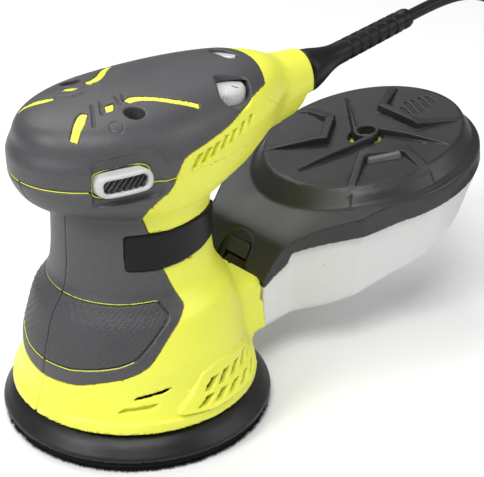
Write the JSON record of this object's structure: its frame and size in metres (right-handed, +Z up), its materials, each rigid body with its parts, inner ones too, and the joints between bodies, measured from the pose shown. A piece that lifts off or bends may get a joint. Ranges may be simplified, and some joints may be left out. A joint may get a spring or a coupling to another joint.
{
  "type": "random orbital sander",
  "caption": "Palm-grip random orbital sander with a round hook-faced pad, side dust box, speed dial, cross-push switch and mains cord.",
  "frame": {"origin": "centre of the pad's sanding face", "axes": "+Z up along the motor, +X to the rear where the dust box and the cord are, -Y to the operator's right-hand side with the visible switch end"},
  "size_m": [0.3968, 0.1835, 0.156],
  "materials": {
    "lime_shell": "moulded plastic, fine satin texture",
    "grey_overmould": "soft-touch, fine stipple",
    "grip_texture": "soft grip, coarse pebble texture",
    "badge_black": "smooth satin plate",
    "light_control": "moulded light grey plastic",
    "dark_plastic": "moulded dark plastic, fine grain",
    "frosted_box": "frosted translucent plastic",
    "black_rubber": "matt black rubber",
    "pad_backing": "moulded polyurethane",
    "pad_foam": "closed cell foam",
    "hook_fabric": "hook fastener fabric",
    "steel": "turned steel",
    "laminated_steel": "varnished laminations",
    "copper": "copper segments",
    "brass": "pressed brass",
    "carbon": "pressed carbon",
    "board": "lacquered board",
    "filter_paper": "pleated filter paper"
  },
  "bodies": {
    "housing": {"housing_right": "lime_shell", "housing_left": "lime_shell", "upper_cover": "lime_shell", "top_grip_overmould": "grey_overmould", "front_overmould_right": "grey_overmould", "front_overmould_left": "grey_overmould", "grip_inset_right": "grip_texture", "grip_inset_left": "grip_texture", "badge_right": "badge_black", "badge_left": "badge_black", "switch_module": "dark_plastic", "speed_control_board": "board", "indicator_lens": "light_control", "stator": "laminated_steel", "bearing_bracket": "dark_plastic", "top_bearing_holder": "dark_plastic", "brush_holder_right": "brass", "brush_holder_left": "brass", "carbon_brush_right": "carbon", "carbon_brush_left": "carbon", "lower_bearing": "steel", "upper_bearing": "steel", "pad_brake_ring": "black_rubber", "spout_seal": "black_rubber", "cord_guard": "black_rubber", "cord_clamp": "dark_plastic", "power_cord": "black_rubber", "cord_coil": "black_rubber", "cord_tie": "black_rubber", "cord_tail": "black_rubber", "plug_body": "black_rubber", "plug_pin_1": "steel", "plug_pin_2": "steel", "cover_screw_1": "steel", "cover_screw_2": "steel", "housing_screw_1": "steel", "housing_screw_2": "steel"},
    "rotor": {"motor_shaft": "steel", "counterweight": "steel", "fan": "dark_plastic", "rotor_stack": "laminated_steel", "commutator": "copper"},
    "pad": {"pad_plate": "pad_backing", "pad_foam": "pad_foam", "pad_hook_layer": "hook_fabric", "pad_hub": "steel", "pad_bearing": "steel", "pad_screw_1": "steel", "pad_screw_2": "steel", "pad_screw_3": "steel"},
    "switch": {"switch_bar": "light_control", "switch_insert_right": "dark_plastic", "switch_insert_left": "dark_plastic"},
    "dial": {"speed_dial": "light_control"},
    "box": {"dust_box": "frosted_box", "dust_spout": "dark_plastic", "filter_cone": "filter_paper"},
    "lid": {"dust_lid": "dark_plastic", "cyclone_ring": "lime_shell"},
    "latch": {"box_latch": "dark_plastic"}
  },
  "joints": [
    {"name": "rotor_spin", "type": "hinge", "parent": "housing", "child": "rotor", "pos_m": [0, 0, 0.07], "axis": [0, 0, 1], "continuous": true},
    {"name": "pad_spin", "type": "hinge", "parent": "rotor", "child": "pad", "pos_m": [0.0012, 0, 0.01], "axis": [0, 0, 1], "continuous": true},
    {"name": "switch_slide", "type": "slide", "parent": "housing", "child": "switch", "axis": [0, 1, 0], "range_m": [0, 0.003]},
    {"name": "dial_turn", "type": "hinge", "parent": "housing", "child": "dial", "pos_m": [0.04, -0.017, 0.147], "axis": [0, 0, 1], "range_deg": [0, 270]},
    {"name": "box_slide", "type": "slide", "parent": "housing", "child": "box", "axis": [1, 0, 0], "range_m": [0, 0.035]},
    {"name": "lid_lift", "type": "slide", "parent": "box", "child": "lid", "axis": [0, 0, 1], "range_m": [0, 0.025]},
    {"name": "latch_press", "type": "slide", "parent": "lid", "child": "latch", "axis": [0, 0, -1], "range_m": [0, 0.002], "stiffness_N_per_m": 300}
  ]
}
